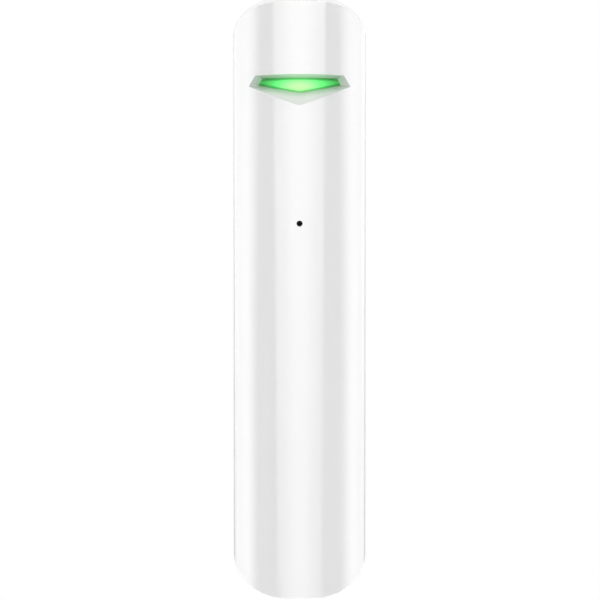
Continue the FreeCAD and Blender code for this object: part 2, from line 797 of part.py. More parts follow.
def amplifier_chip():
    """Small chip held off the board by bent leads above and below it."""
    z, half = plunger_z + amplifier_above, amplifier_side / 2
    body = box((small_parts_x - half, small_parts_x + half),
               (board_back_y + lead_thickness, board_back_y + amplifier_height), (z - half, z + half))
    leads = []
    for i in range(amplifier_leads):
        x = small_parts_x + (i - (amplifier_leads - 1) / 2) * amplifier_pitch
        leads += [gull_lead(x, z + side * half, side) for side in (-1, 1)]
    return fused([body] + leads)


def crystal():
    return rear_block(crystal_width, crystal_height, crystal_length, small_parts_x, chip_z)


def chip_capacitors():
    """Rows of small capacitors on both sides of the power switch."""
    blocks = []
    for x, row in ((small_parts_x, capacitor_row_right), (-small_parts_x, capacitor_row_left)):
        for i in range(round(row / capacitor_pitch) + 1):
            z = power_z - capacitor_row_below + i * capacitor_pitch
            blocks.append(rear_block(capacitor_width, capacitor_height, capacitor_length, x, z))
    return Part.Compound(blocks)


def reservoir_capacitor():
    """Can capacitor on a square foot, with a rolled groove near the foot."""
    x, z, r = reservoir_x, plunger_z, reservoir_radius
    foot_top = board_back_y + reservoir_foot
    foot = rear_block(2 * r, reservoir_foot, 2 * r, x, z)
    can = rod_y(r, x, z, foot_top, hook_front_y - reservoir_back_gap)
    groove_y = (board_back_y + reservoir_groove_height,
                board_back_y + reservoir_groove_height + reservoir_groove_width)
    groove = rod_y(r + 1, x, z, *groove_y).cut(rod_y(r - reservoir_groove_depth, x, z, *groove_y))
    return fused([foot, can]).cut(groove)


def radio_shield():
    """Folded sheet can with vents and open corners, between the microphone and the lamp."""
    low = microphone_z + capsule_radius + boot_wall + shield_gap
    high = lamp_z - led_height / 2 - shroud_room - shroud_wall - shield_gap
    half = shield_width / 2
    y = (board_front_y - shield_height, board_front_y)
    can = box((-half, half), y, (low, high))
    room = box((shield_sheet - half, half - shield_sheet), (y[0] + shield_sheet, y[1] + 1),
               (low + shield_sheet, high - shield_sheet))
    cuts = [room]
    for column in (-1, 0, 1):
        for row in (-1, 0, 1):
            cuts.append(rod_y(shield_vent_radius, column * shield_vent_pitch,
                              (low + high) / 2 + row * shield_vent_pitch, y[0] - 1, y[0] + shield_height / 2))
    open_y = (y[0] + 2 * shield_sheet, y[1] + 1)
    slit = shield_sheet + shield_corner_slit
    for x in ((-half - 1, slit - half), (half - slit, half + 1)):
        cuts += [box(x, open_y, z) for z in ((low - 1, low + shield_sheet), (high - shield_sheet, high + 1))]
    return can.cut(cuts)


def antenna():
    """Bent strip standing on two legs along the board's left edge."""
    low = plunger_z + antenna_above
    x = (antenna_x - antenna_width / 2, antenna_x + antenna_width / 2)
    top_y = board_back_y + antenna_height
    arm = box(x, (top_y - antenna_sheet, top_y), (low, half_length - antenna_top_drop))
    legs = [box(x, (board_back_y, top_y), (z, z + antenna_sheet)) for z in (low, low + antenna_leg_spacing)]
    return fused([arm] + legs)


def stadium(r, slot_length, y, z):
    """Outline of an upright slot in the plane y."""
    half = slot_length / 2 - r
    top, low = z + half, z - half
    return Part.Wire([
        Part.Arc(Vector(r, y, top), Vector(0, y, top + r), Vector(-r, y, top)).toShape(),
        Part.makeLine(Vector(-r, y, top), Vector(-r, y, low)),
        Part.Arc(Vector(-r, y, low), Vector(0, y, low - r), Vector(r, y, low)).toShape(),
        Part.makeLine(Vector(r, y, low), Vector(r, y, top)),
    ])


def countersunk_slot(z):
    """Screw slot, widened towards the front for the screw's head."""
    r = screw_slot_width / 2
    through = Part.Face(stadium(r, screw_slot_length, 1, z)).extrude(Vector(0, -depth / 4, 0))
    wide = r + countersink_spread
    sink = Part.makeLoft([stadium(r, screw_slot_length, bracket_front_y + countersink_depth, z),
                          stadium(wide, screw_slot_length + 2 * countersink_spread, bracket_front_y, z)],
                         True, True)
    return through.fuse(sink)


def bracket_hook(height):
    """Right-hand hook: stem, outward foot and the stop that the housing's ledge lands on."""
    foot_tip = hook_outer_x + hook_foot_reach
    z_top = height + hook_length / 2
    stop_top = height - ledge_length / 2 - touch_gap
    stop_low = stop_top - hook_stop
    stem = box((hook_inner_x, hook_outer_x), (hook_front_y, bracket_front_y), (stop_low, z_top))
    side = Part.makePolygon([Vector(hook_inner_x, y, z) for y, z in (
        (hook_front_y, stop_low), (hook_foot_back_y, stop_low), (hook_foot_back_y, z_top - hook_lead),
        (hook_foot_back_y - hook_lead, z_top), (hook_front_y, z_top), (hook_front_y, stop_low))])
    foot = Part.Face(side).extrude(Vector(foot_tip - hook_inner_x, 0, 0))
    stop = box((hook_inner_x, foot_tip), (hook_front_y, bracket_front_y), (stop_low, stop_top))
    return fused([stem, foot, stop])


def tab_slits():
    """Perforation round the break-off tab: slits with small bridges left between them."""
    low, high = plunger_z - tab_below, plunger_z + tab_above
    half = tab_width / 2
    y = (bracket_front_y - 1, 1)
    middle = (low + high) / 2
    gap = tab_bridge / 2
    cuts = []
    for side in (-1, 1):
        x = sorted((side * half, side * (half + tab_slit)))
        cuts += [box(x, y, (low - tab_slit, middle - gap)), box(x, y, (middle + gap, high + tab_slit))]
    for z in ((low - tab_slit, low), (high, high + tab_slit)):
        cuts += [box((-half, -gap), y, z), box((gap, half), y, z)]
    return cuts


def plunger_ramp():
    """Groove in the tab that lets the plunger out as the housing slides up."""
    slope = plunger_travel / unlock_travel
    tip = plunger_radius + plunger_tip_gap
    start = plunger_z - tip * (math.sqrt(1 + slope ** 2) - 1) / slope
    end = start + unlock_travel
    deep_y = bracket_front_y + plunger_travel
    half = ramp_width / 2
    rest = end + plunger_radius + ramp_landing
    corners = [(bracket_front_y - 1, start), (bracket_front_y, start), (deep_y, end), (deep_y, rest),
               (bracket_front_y - 1, rest), (bracket_front_y - 1, start)]
    side = Part.makePolygon([Vector(-half, y, z) for y, z in corners])
    return Part.Face(side).extrude(Vector(ramp_width, 0, 0))


def mounting_bracket():
    """Wall plate with four hooks, two screw slots and the break-off tamper tab."""
    plate = front_outline(bracket_inset, bracket_front_y, 0)
    hooks = []
    for height in hook_heights:
        hooks += both_sides(bracket_hook(height))
    tab_hole_z = plunger_z - tab_hole_drop
    r = tab_hole_diameter / 2
    cuts = [countersunk_slot(side * (half_length - screw_slot_inset)) for side in (-1, 1)]
    cuts += tab_slits() + [plunger_ramp()]
    cuts.append(rod_y(r, 0, tab_hole_z, -depth / 4, 1))
    cuts.append(cone_y(r + countersink_spread, r, 0, tab_hole_z, bracket_front_y,
                       bracket_front_y + countersink_depth))
    return fused([plate] + hooks).cut(cuts)


parts = {
    "mounting_bracket": mounting_bracket(),
    "front_housing": front_housing(),
    "rear_chassis": rear_chassis(),
    "chassis_screws": Part.Compound([chassis_screw(x, z) for x, z in chassis_screw_places]),
    "light_guide": light_guide(),
    "status_led": status_led(),
    "light_shroud": light_shroud(),
    "main_board": main_board(),
    "microphone_capsule": microphone_capsule(),
    "microphone_boot": microphone_boot(),
    "microphone_mesh": microphone_mesh(),
    "battery_cell": battery_cell(),
    "positive_contact": positive_contact(),
    "negative_contact": negative_contact(),
    "battery_spring": battery_spring(),
    "tamper_switch_body": switch_body(plunger_z),
    "tamper_plunger": tamper_plunger(),
    "tamper_spring": tamper_spring(),
    "power_switch_body": switch_body(power_z),
    "power_button": power_button(),
    "microcontroller": microcontroller(),
    "amplifier_chip": amplifier_chip(),
    "crystal": crystal(),
    "chip_capacitors": chip_capacitors(),
    "reservoir_capacitor": reservoir_capacitor(),
    "radio_shield": radio_shield(),
    "antenna": antenna(),
}

os.makedirs("parts", exist_ok=True)
for name, shape in parts.items():
    shape.exportStep(f"parts/{name}.step")
    state = "valid" if shape.isValid() else "INVALID"
    print(name, len(shape.Solids), "solid", round(shape.Volume, 2), "mm3", state)
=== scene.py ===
import math

import bmesh
import bpy
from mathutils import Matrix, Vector


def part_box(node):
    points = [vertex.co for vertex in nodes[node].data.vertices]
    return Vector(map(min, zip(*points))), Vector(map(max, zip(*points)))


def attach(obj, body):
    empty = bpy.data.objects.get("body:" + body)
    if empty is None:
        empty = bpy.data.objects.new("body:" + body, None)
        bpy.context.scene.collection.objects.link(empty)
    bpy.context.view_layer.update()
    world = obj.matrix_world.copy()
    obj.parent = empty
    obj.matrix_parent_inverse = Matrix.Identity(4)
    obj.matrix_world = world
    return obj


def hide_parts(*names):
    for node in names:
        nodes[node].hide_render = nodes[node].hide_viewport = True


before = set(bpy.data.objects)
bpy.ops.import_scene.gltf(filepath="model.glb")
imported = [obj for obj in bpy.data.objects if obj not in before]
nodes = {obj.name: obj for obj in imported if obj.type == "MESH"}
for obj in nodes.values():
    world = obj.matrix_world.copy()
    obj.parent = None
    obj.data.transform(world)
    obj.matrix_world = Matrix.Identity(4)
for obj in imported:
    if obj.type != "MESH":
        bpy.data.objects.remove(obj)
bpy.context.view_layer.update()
mm = 0.001
print("frame loaded:", len(nodes), "nodes")


# Helpers for node trees

def newMaterial(name):
    material = bpy.data.materials.new(name)
    material.use_nodes = True
    tree = material.node_tree
    return material, tree, tree.nodes["Principled BSDF"]


def addNode(tree, kind, **settings):
    node = tree.nodes.new(kind)
    for key, value in settings.items():
        setattr(node, key, value)
    return node


def mathNode(tree, operation, *values, clamp=False):
    # Each value is a number or another node's output
    node = addNode(tree, "ShaderNodeMath", operation=operation, use_clamp=clamp)
    for socket, value in zip(node.inputs, values):
        if isinstance(value, (int, float)):
            socket.default_value = value
        else:
            tree.links.new(value, socket)
    return node.outputs[0]


def millimetres(tree, scale=(1, 1, 1)):
    # The surface's own place in millimetres, stretched by scale
    source = addNode(tree, "ShaderNodeTexCoord")
    mapping = addNode(tree, "ShaderNodeMapping")
    mapping.inputs["Scale"].default_value = [part / mm for part in scale]
    tree.links.new(source.outputs["Object"], mapping.inputs["Vector"])
    return mapping.outputs["Vector"]


def axes(tree):
    split = addNode(tree, "ShaderNodeSeparateXYZ")
    tree.links.new(millimetres(tree), split.inputs["Vector"])
    return split.outputs


def noise(tree, vector, scale, detail=2.0, roughness=0.5):
    node = addNode(tree, "ShaderNodeTexNoise")
    node.inputs["Scale"].default_value = scale
    node.inputs["Detail"].default_value = detail
    node.inputs["Roughness"].default_value = roughness
    tree.links.new(vector, node.inputs["Vector"])
    return node.outputs["Fac"]


def ramp(tree, factor, stops):
    node = addNode(tree, "ShaderNodeValToRGB")
    elements = node.color_ramp.elements
    while len(elements) < len(stops):
        elements.new(0.5)
    for element, (position, colour) in zip(elements, stops):
        element.position = position
        element.color = (*colour, 1.0)
    tree.links.new(factor, node.inputs["Fac"])
    return node.outputs["Color"]


def span(tree, value, low, high, fromLow=0.0, fromHigh=1.0, smooth=False):
    # Carries fromLow..fromHigh over to low..high
    node = addNode(tree, "ShaderNodeMapRange", interpolation_type="SMOOTHSTEP" if smooth else "LINEAR")
    sockets = ("From Min", "From Max", "To Min", "To Max")
    for name, number in zip(sockets, (fromLow, fromHigh, low, high)):
        node.inputs[name].default_value = number
    tree.links.new(value, node.inputs["Value"])
    return node.outputs["Result"]


def mixed(tree, factor, first, second, kind="RGBA", blend="MIX"):
    node = addNode(tree, "ShaderNodeMix", data_type=kind, blend_type=blend)
    inputs = {socket.identifier: socket for socket in node.inputs}
    outputs = {socket.identifier: socket for socket in node.outputs}
    suffix = {"RGBA": "_Color", "FLOAT": "_Float"}[kind]
    for name, value in (("Factor_Float", factor), ("A" + suffix, first), ("B" + suffix, second)):
        if isinstance(value, (int, float)):
            inputs[name].default_value = value
        elif isinstance(value, tuple):
            inputs[name].default_value = (*value, 1.0)
        else:
            tree.links.new(value, inputs[name])
    return outputs["Result" + suffix]


def shades(colour, spread):
    # A darker and a lighter shade on either side of a colour
    return [tuple(min(1.0, part * (1 + side * spread)) for part in colour) for side in (-1, 1)]


# Finishes: an uneven shade, uneven polish and fine relief, and where a mask says so a second one

plainLook = {
    "drift": 0.05, "driftScale": 0.4,       # how far the shade wanders, and how quickly
    "metal": 0.0,
    "marks": (1, 1, 1),             # below 1 along an axis draws the marks out along it
    "polishScale": 0.8,
    "grain": 0.12, "grainScale": 8.0, "grainDepth": 0.015,      # depth in mm
    "ior": 1.46,
}


def surfaceOf(tree, look):
    look = {**plainLook, **look}
    even = millimetres(tree)
    marks = millimetres(tree, look["marks"])
    dark, light = shades(look["colour"], look["drift"])
    colour = ramp(tree, noise(tree, even, look["driftScale"], 3.0), [(0.35, dark), (0.65, light)])
    roughness = span(tree, noise(tree, marks, look["polishScale"], 3.0), *look["roughness"])
    grain = noise(tree, marks, look["grainScale"], 3.0, 0.6)
    return colour, roughness, look["metal"], grain


def finish(name, look, second=None, mask=None):
    look = {**plainLook, **look}
    material, tree, shader = newMaterial(name)
    colour, roughness, metal, grain = surfaceOf(tree, look)
    if second:
        other = surfaceOf(tree, second)
        where = mask(tree, *axes(tree))
        colour = mixed(tree, where, colour, other[0])
        roughness = mixed(tree, where, roughness, other[1], "FLOAT")
        metal = mixed(tree, where, metal, other[2], "FLOAT")
    relief = addNode(tree, "ShaderNodeBump")
    relief.inputs["Strength"].default_value = look["grain"]
    relief.inputs["Distance"].default_value = look["grainDepth"] * mm
    tree.links.new(grain, relief.inputs["Height"])
    tree.links.new(relief.outputs["Normal"], shader.inputs["Normal"])
    tree.links.new(colour, shader.inputs["Base Color"])
    tree.links.new(roughness, shader.inputs["Roughness"])
    if isinstance(metal, float):
        shader.inputs["Metallic"].default_value = metal
    else:
        tree.links.new(metal, shader.inputs["Metallic"])
    shader.inputs["IOR"].default_value = look["ior"]
    return material


def over(tree, value, limit):
    return mathNode(tree, "GREATER_THAN", value, limit)


def below(tree, value, limit):
    return mathNode(tree, "LESS_THAN", value, limit)


def off(tree, value, middle):
    # How far a coordinate lies from a middle, either way
    return mathNode(tree, "ABSOLUTE", mathNode(tree, "SUBTRACT", value, middle))


def dress(name, material):
    slots = nodes[name].data.materials
    slots.clear()
    slots.append(material)


def boxOf(name):
    # Lowest corner, highest corner and middle of a CAD node, in millimetres
    low, high = (Vector(corner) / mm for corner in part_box(name))
    return low, high, (low + high) / 2


# Camera, at the photograph's angle

view = {
    "elevation": 4.5,               # degrees above the horizon
    "distance": 1100 * mm,
    "target": (0.06 * mm, -10 * mm, -0.70 * mm),
    "frameSize": 90.9 * mm,         # what the square picture takes in at the target
    "sensorWidth": 36,
    "clip": (0.05, 60),             # metres, the nearest and the farthest that it sees
}

elevation = math.radians(view["elevation"])
backward = Vector((0, -math.cos(elevation), math.sin(elevation)))
cameraData = bpy.data.cameras.new("camera")
cameraData.sensor_width = view["sensorWidth"]
cameraData.lens = view["sensorWidth"] * view["distance"] / view["frameSize"]
cameraData.clip_start, cameraData.clip_end = view["clip"]
camera = bpy.data.objects.new("camera", cameraData)
camera.location = Vector(view["target"]) + backward * view["distance"]
camera.rotation_mode = "QUATERNION"
camera.rotation_quaternion = (-backward).to_track_quat("-Z", "Y")
bpy.context.scene.collection.objects.link(camera)
bpy.context.scene.camera = camera
bpy.context.scene.view_settings.view_transform = "Standard"
print("camera placed")


# Studio: white room, a wide panel behind the camera, one at each side and three higher up

studio = {
    "ambient": (0.0, 0.01),         # what the room gives matt surfaces from below and from above
    "ambientTurn": (-0.25, 0.35),   # slopes between which the one passes into the other
    "mirroredFront": (1.2, 0.8),    # what gloss shows of the room in front, below and above the horizon
    "mirroredBack": (0.74, 1.0),    # and the same behind
    "horizon": (-0.13, 0.05),
    "backTurn": (0.3, 0.9),
    "floorDrop": 1.2,               # metres from the sensor down to the floor
    "floorSize": 12.0,
    "floorColour": (0.5, 0.5, 0.5), "floorSpread": 0.02, "floorMottle": 1.5, "floorRoughness": 0.9,
    "floorLift": 0.8,               # glow for the camera and through clear pieces, to keep the floor pale
    "panelCells": 24,               # cells along a panel
}

# Each panel: how far away it stands, in metres, rows of (height, one end, other end) from low to high,
# its light along a row from end to end and, where it isn't even, its level from the lowest row to the
# highest. A lean is in degrees from straight above towards the camera, and below 0 away from it.
sideLight = [(0.0, 0.5), (0.024, 0.63), (0.06, 0.8), (0.1, 0.99), (0.143, 0.99), (0.19, 0.92),
             (0.24, 0.78), (0.3, 0.63), (0.43, 0.52), (0.62, 0.45), (1.0, 0.37)]
panels = {
    "front": {"strength": 6.45, "away": -1.9, "level": (0.74, 1.09),
              "rows": [(-0.42, -1.45, 1.4), (-0.213, -1.715, 1.655), (0.055, -2.265, 2.185)],
              "light": [(0.0, 0.52), (0.1, 0.62), (0.22, 0.68), (0.3, 0.8), (0.35, 0.88), (0.41, 0.96),
                        (0.5, 1.0), (0.59, 0.97), (0.65, 0.9), (0.7, 0.82), (0.78, 0.7), (0.9, 0.64),
                        (1.0, 0.52)]},
    "left": {"strength": 4.3, "away": -1.3, "light": sideLight,
             "rows": [(-0.45, -0.2, 2.2), (-0.11, -0.2, 3.8), (0.0, -0.36, 3.9), (0.25, -0.44, 3.9)]},
    "right": {"strength": 4.3, "away": 1.3, "light": sideLight,
              "rows": [(-0.45, -0.2, 2.2), (-0.11, -0.22, 3.8), (0.0, -0.38, 3.9), (0.25, -0.46, 3.9)]},
    "top": {"strength": 6.0, "away": 1.6, "lean": 23,
            "rows": [(-0.16, -0.9, 0.9), (0.16, -0.9, 0.9)],
            "light": [(0.0, 0.3), (0.1, 1.0), (0.9, 1.0), (1.0, 0.3)]},
    "key": {"strength": 1.7, "away": 1.8, "lean": 55,
            "rows": [(-0.35, -0.6, 0.6), (0.35, -0.6, 0.6)],
            "light": [(0.0, 0.3), (0.15, 1.0), (0.85, 1.0), (1.0, 0.3)]},
    "back": {"strength": 2.6, "away": 2.2, "lean": -58,
             "rows": [(-0.6, -0.9, 0.9), (0.6, -0.9, 0.9)],
             "light": [(0.0, 0.3), (0.15, 1.0), (0.85, 1.0), (1.0, 0.3)]},
}


def lightPath(tree, *outputs):
    # 1 where the ray is any of the named kinds
    node = addNode(tree, "ShaderNodeLightPath")
    total = node.outputs[outputs[0]]
    for output in outputs[1:]:
        total = mathNode(tree, "MAXIMUM", total, node.outputs[output])
    return total


def makeWorld():
    world = bpy.data.worlds.new("whiteRoom")
    world.use_nodes = True
    tree = world.node_tree
    background = tree.nodes["Background"]
    background.inputs["Color"].default_value = (1, 1, 1, 1)
    source = addNode(tree, "ShaderNodeTexCoord")
    split = addNode(tree, "ShaderNodeSeparateXYZ")
    tree.links.new(source.outputs["Generated"], split.inputs["Vector"])
    _, y, z = split.outputs
    ambient = span(tree, z, *studio["ambient"], *studio["ambientTurn"], smooth=True)
    front, back = (span(tree, z, *studio["mirrored" + side], *studio["horizon"], smooth=True)
                   for side in ("Front", "Back"))
    mirrored = mixed(tree, span(tree, y, 0.0, 1.0, *studio["backTurn"], smooth=True), front, back, "FLOAT")
    isMirrored = lightPath(tree, "Is Glossy Ray", "Is Transmission Ray")
    strength = mixed(tree, isMirrored, ambient, mirrored, "FLOAT")
    strength = mathNode(tree, "MAXIMUM", strength, lightPath(tree, "Is Camera Ray"))
    tree.links.new(strength, background.inputs["Strength"])
    bpy.context.scene.world = world


def makeSheet(name, rows, columns, place):
    # A sheet of cells, U running along its rows and V from the lowest to the highest
    bm = bmesh.new()
    unwrap = bm.loops.layers.uv.new()
    low, high = rows[0][0], rows[-1][0]
    steps = [step / columns for step in range(columns + 1)]
    grid = []
    for height, start, end in rows:
        v = (height - low) / (high - low)
        grid.append([(bm.verts.new(place(start + (end - start) * u, height)), (u, v)) for u in steps])
    for lower, upper in zip(grid, grid[1:]):
        for step in range(columns):
            cell = (lower[step], lower[step + 1], upper[step + 1], upper[step])
            face = bm.faces.new([vert for vert, _ in cell])
            for loop, (_, uv) in zip(face.loops, cell):
                loop[unwrap].uv = uv
    bm.normal_update()
    for face in bm.faces:
        if face.normal.dot(face.calc_center_median()) > 0:
            face.normal_flip()
    mesh = bpy.data.meshes.new(name)
    bm.to_mesh(mesh)
    bm.free()
    sheet = bpy.data.objects.new(name, mesh)
    bpy.context.scene.collection.objects.link(sheet)
    return sheet


def makeFloor():
    half = studio["floorSize"] / 2
    drop = studio["floorDrop"]
    floor = makeSheet("floor", [(-half, -half, half), (half, -half, half)], 1,
                      lambda along, up: (along, up, -drop))
    material, tree, shader = newMaterial("paleFloor")
    source = addNode(tree, "ShaderNodeTexCoord")
    dark, light = shades(studio["floorColour"], studio["floorSpread"])
    mottle = noise(tree, source.outputs["Object"], studio["floorMottle"])
    tree.links.new(ramp(tree, mottle, [(0.3, dark), (0.7, light)]), shader.inputs["Base Color"])
    shader.inputs["Roughness"].default_value = studio["floorRoughness"]
    shader.inputs["Emission Color"].default_value = (1, 1, 1, 1)
    lift = mathNode(tree, "MULTIPLY", lightPath(tree, "Is Camera Ray", "Is Transmission Ray"),
                    studio["floorLift"])
    tree.links.new(lift, shader.inputs["Emission Strength"])
    floor.data.materials.append(material)


def makePanel(name, look, place):
    # A glowing sheet, lit only on the side that faces the sensor
    panel = makeSheet(name + "Panel", look["rows"], studio["panelCells"], place)
    material = bpy.data.materials.new(name + "Light")
    material.use_nodes = True
    tree = material.node_tree
    tree.nodes.clear()
    output = addNode(tree, "ShaderNodeOutputMaterial")
    emission = addNode(tree, "ShaderNodeEmission")
    split = addNode(tree, "ShaderNodeSeparateXYZ")
    tree.links.new(addNode(tree, "ShaderNodeTexCoord").outputs["UV"], split.inputs["Vector"])
    light = ramp(tree, split.outputs["X"], [(at, (part,) * 3) for at, part in look["light"]])
    level = span(tree, split.outputs["Y"], *look.get("level", (1, 1)))
    facing = addNode(tree, "ShaderNodeNewGeometry").outputs["Backfacing"]
    glow = mathNode(tree, "MULTIPLY", mathNode(tree, "MULTIPLY", light, level),
                    mathNode(tree, "SUBTRACT", 1.0, facing))
    tree.links.new(mathNode(tree, "MULTIPLY", glow, look["strength"]), emission.inputs["Strength"])
    tree.links.new(emission.outputs[0], output.inputs["Surface"])
    panel.data.materials.append(material)
    panel.visible_camera = False


def makePanels():
    for name, look in panels.items():
        away = look["away"]
        lean = math.radians(look.get("lean", 0))

        def place(along, up, name=name, away=away, lean=lean):
            if name == "front":
                return along, away, up
            if name in ("left", "right"):
                return away, along, up
            # The others lean from straight above towards the camera, or away from it
            return (along, up * math.cos(lean) - away * math.sin(lean),
                    up * math.sin(lean) + away * math.cos(lean))

        makePanel(name, look, place)


makeWorld()
makeFloor()
makePanels()
print("studio lit")


# Refined copies of CAD solids: joined meshes with broken edges that catch the light

refining = {
    "weld": 0.001,                  # mm
    "flatWithin": 0.6,              # degrees between faces that are one flat face
    "smoothPast": 12,               # degrees past the sharp angle up to which corners shade as one
}


def mergedCopy(name):
    # A CAD mesh comes as loose triangles: join them and clear the seams inside flat faces
    bm = bmesh.new()
    bm.from_mesh(nodes[name].data)
    bmesh.ops.remove_doubles(bm, verts=bm.verts, dist=refining["weld"] * mm)
    bmesh.ops.dissolve_limit(bm, angle_limit=math.radians(refining["flatWithin"]), verts=bm.verts,
                             edges=bm.edges)
    return bm


def markEdges(bm, sharpAngle, weightOf):
    # Bevel weight of each sharp edge, 1 being the piece's full break
    weights = bm.edges.layers.float.new("bevel_weight_edge")
    for edge in bm.edges:
        if edge.is_manifold and edge.calc_face_angle() > math.radians(sharpAngle):
            edge[weights] = weightOf(edge)


def evenCorners(mesh, smoothAngle, trueNormal):
    # Each corner takes its normal from the wide faces around it, so that flats shade flat up to a break
    bm = bmesh.new()
    bm.from_mesh(mesh)
    limit = math.cos(math.radians(smoothAngle))
    areas = {face: face.calc_area() for face in bm.faces}
    corners = []
    for face in bm.faces:
        for vert in face.verts:
            total = Vector()
            for other in vert.link_faces:
                if other.normal.dot(face.normal) > limit:
                    total += other.normal * areas[other]
            normal = total.normalized() if total.length > 0 else face.normal.copy()
            corners.append(trueNormal(vert.co, normal) if trueNormal else normal)
    bm.free()
    mesh.shade_smooth()
    mesh.normals_split_custom_set(corners)


def addPiece(bm, name, body, material, look, replaced, slot, trueNormal=None):
    mesh = bpy.data.meshes.new(name)
    bm.to_mesh(mesh)
    bm.free()
    mesh.materials.append(material)
    piece = bpy.data.objects.new(name, mesh)
    bpy.context.scene.collection.objects.link(piece)
    broken = piece.modifiers.new("brokenEdges", "BEVEL")
    broken.width = look["break"] * mm
    broken.segments = look["breakSteps"]
    broken.limit_method = "WEIGHT"
    broken.material = -1
    bpy.context.view_layer.update()
    depsgraph = bpy.context.evaluated_depsgraph_get()
    finished = bpy.data.meshes.new_from_object(piece.evaluated_get(depsgraph))
    piece.modifiers.clear()
    piece.data = finished
    bpy.data.meshes.remove(mesh)
    finished.name = name
    evenCorners(finished, look["sharpAngle"] + refining["smoothPast"], trueNormal)
    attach(piece, body)
    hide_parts(replaced)
    print(name + ":", len(finished.polygons), "faces")


# Housing: a rounder front, finely broken rims and softer lower edges of the light recess

housing = {
    "colour": (0.9, 0.9, 0.9), "drift": 0.004, "driftScale": 0.09, "roughness": (0.03, 0.06),
    "grain": 0.02, "grainScale": 2.0, "grainDepth": 0.01, "ior": 1.52,
    "radii": (10.0, 8.8),           # mm, outside and inside of the round front
    "axis": -10.0,                  # Y of its middle
    "nearness": 0.03,               # mm that a facet's corner may lie off its round
    "upright": 0.98,                # least length of a round facet's normal, seen from above
    "turn": 2.0,                    # degrees from one strip of the round to the next
    "cutNear": 0.0005,              # mm within which a cut takes a corner that is there
    "break": 0.3, "breakSteps": 3,  # mm, at the recess's lower edges
    "rimShare": 0.4,                # and the share of it at all other outer edges
    "sharpAngle": 28.0,
    "recess": (29.0, 32.2),         # heights between which the recess's lower edges run
    "rising": 0.1,                  # least upward part of a ramp's normal
    "likeRound": 0.93,              # how close a corner's normal must be to the round's own
}


def onRound(co, radius):
    reach = math.hypot(co.x, co.y - housing["axis"] * mm)
    return abs(reach - radius * mm) < housing["nearness"] * mm and co.y < (housing["axis"] + 0.01) * mm


def roundFaces(bm, radius):
    faces = []
    for face in bm.faces:
        flat = Vector((face.normal.x, face.normal.y))
        if flat.length > housing["upright"] and all(onRound(vert.co, radius) for vert in face.verts):
            faces.append(face)
    return faces


def roundOff(bm, radius):
    # Splits the round wall lengthwise into even strips and sets them on the true radius
    centre = Vector((0, housing["axis"] * mm, 0))
    for step in range(1, int(180 / housing["turn"])):
        turn = math.radians(-90 + step * housing["turn"])
        along = Vector((math.sin(turn), -math.cos(turn), 0))
        crossed = []
        for face in roundFaces(bm, radius):
            sides = [(vert.co - centre).cross(along).z for vert in face.verts]
            if min(sides) < 0 < max(sides) and (face.calc_center_median() - centre).dot(along) > 0:
                crossed.append(face)
        cut = set(crossed)
        for face in crossed:
            cut.update(face.edges)
            cut.update(face.verts)
        bmesh.ops.bisect_plane(bm, geom=list(cut), dist=housing["cutNear"] * mm, plane_co=centre,
                               plane_no=(along.y, -along.x, 0))
    for vert in {vert for face in roundFaces(bm, radius) for vert in face.verts}:
        reach = math.hypot(vert.co.x, vert.co.y - centre.y)
        vert.co.x *= radius * mm / reach
        vert.co.y = centre.y + (vert.co.y - centre.y) * radius * mm / reach
    bm.normal_update()


def makeHousing():
    bm = mergedCopy("front_housing")
    for radius in housing["radii"]:
        roundOff(bm, radius)
    outer = set(roundFaces(bm, housing["radii"][0]))
    low, high = (height * mm for height in housing["recess"])

    def weightOf(edge):
        if not any(face in outer for face in edge.link_faces):
            return 0.0
        inRecess = all(low < vert.co.z < high for vert in edge.verts)
        rising = any(face not in outer and face.normal.z > housing["rising"] for face in edge.link_faces)
        return 1.0 if inRecess and rising else housing["rimShare"]

    def trueNormal(co, normal):
        # The round's own normal where a corner lies on the round wall
        if not onRound(co, housing["radii"][0]):
            return normal
        outward = Vector((co.x, co.y - housing["axis"] * mm, 0)).normalized()
        return outward if outward.dot(normal) > housing["likeRound"] else normal

    markEdges(bm, housing["sharpAngle"], weightOf)
    addPiece(bm, "frontHousing", "housing", finish("whiteGloss", housing), housing, "front_housing",
             "housing_plastic", trueNormal)


makeHousing()


# Bracket and chassis: moulded pieces of matt plastic with finely broken edges

mouldings = {
    "wallBracket": {"node": "mounting_bracket", "body": "bracket", "slot": "bracket_plastic",
                    "colour": (0.85, 0.85, 0.85), "drift": 0.01, "roughness": (0.42, 0.55),
                    "grain": 0.25, "grainScale": 9.0, "grainDepth": 0.02, "break": 0.12},
    "rearChassis": {"node": "rear_chassis", "body": "housing", "slot": "chassis_plastic",
                    "colour": (0.83, 0.83, 0.83), "drift": 0.01, "roughness": (0.38, 0.5),
                    "grain": 0.2, "grainScale": 11.0, "grainDepth": 0.02, "break": 0.08},
}


def makeMoulding(name, look):
    look = {"breakSteps": 2, "sharpAngle": 28.0, **look}
    bm = mergedCopy(look["node"])
    markEdges(bm, look["sharpAngle"], lambda edge: 1.0)
    addPiece(bm, name, look["body"], finish(name + "Plastic", look), look, look["node"], look["slot"])


for name, look in mouldings.items():
    makeMoulding(name, look)
print("mouldings made")
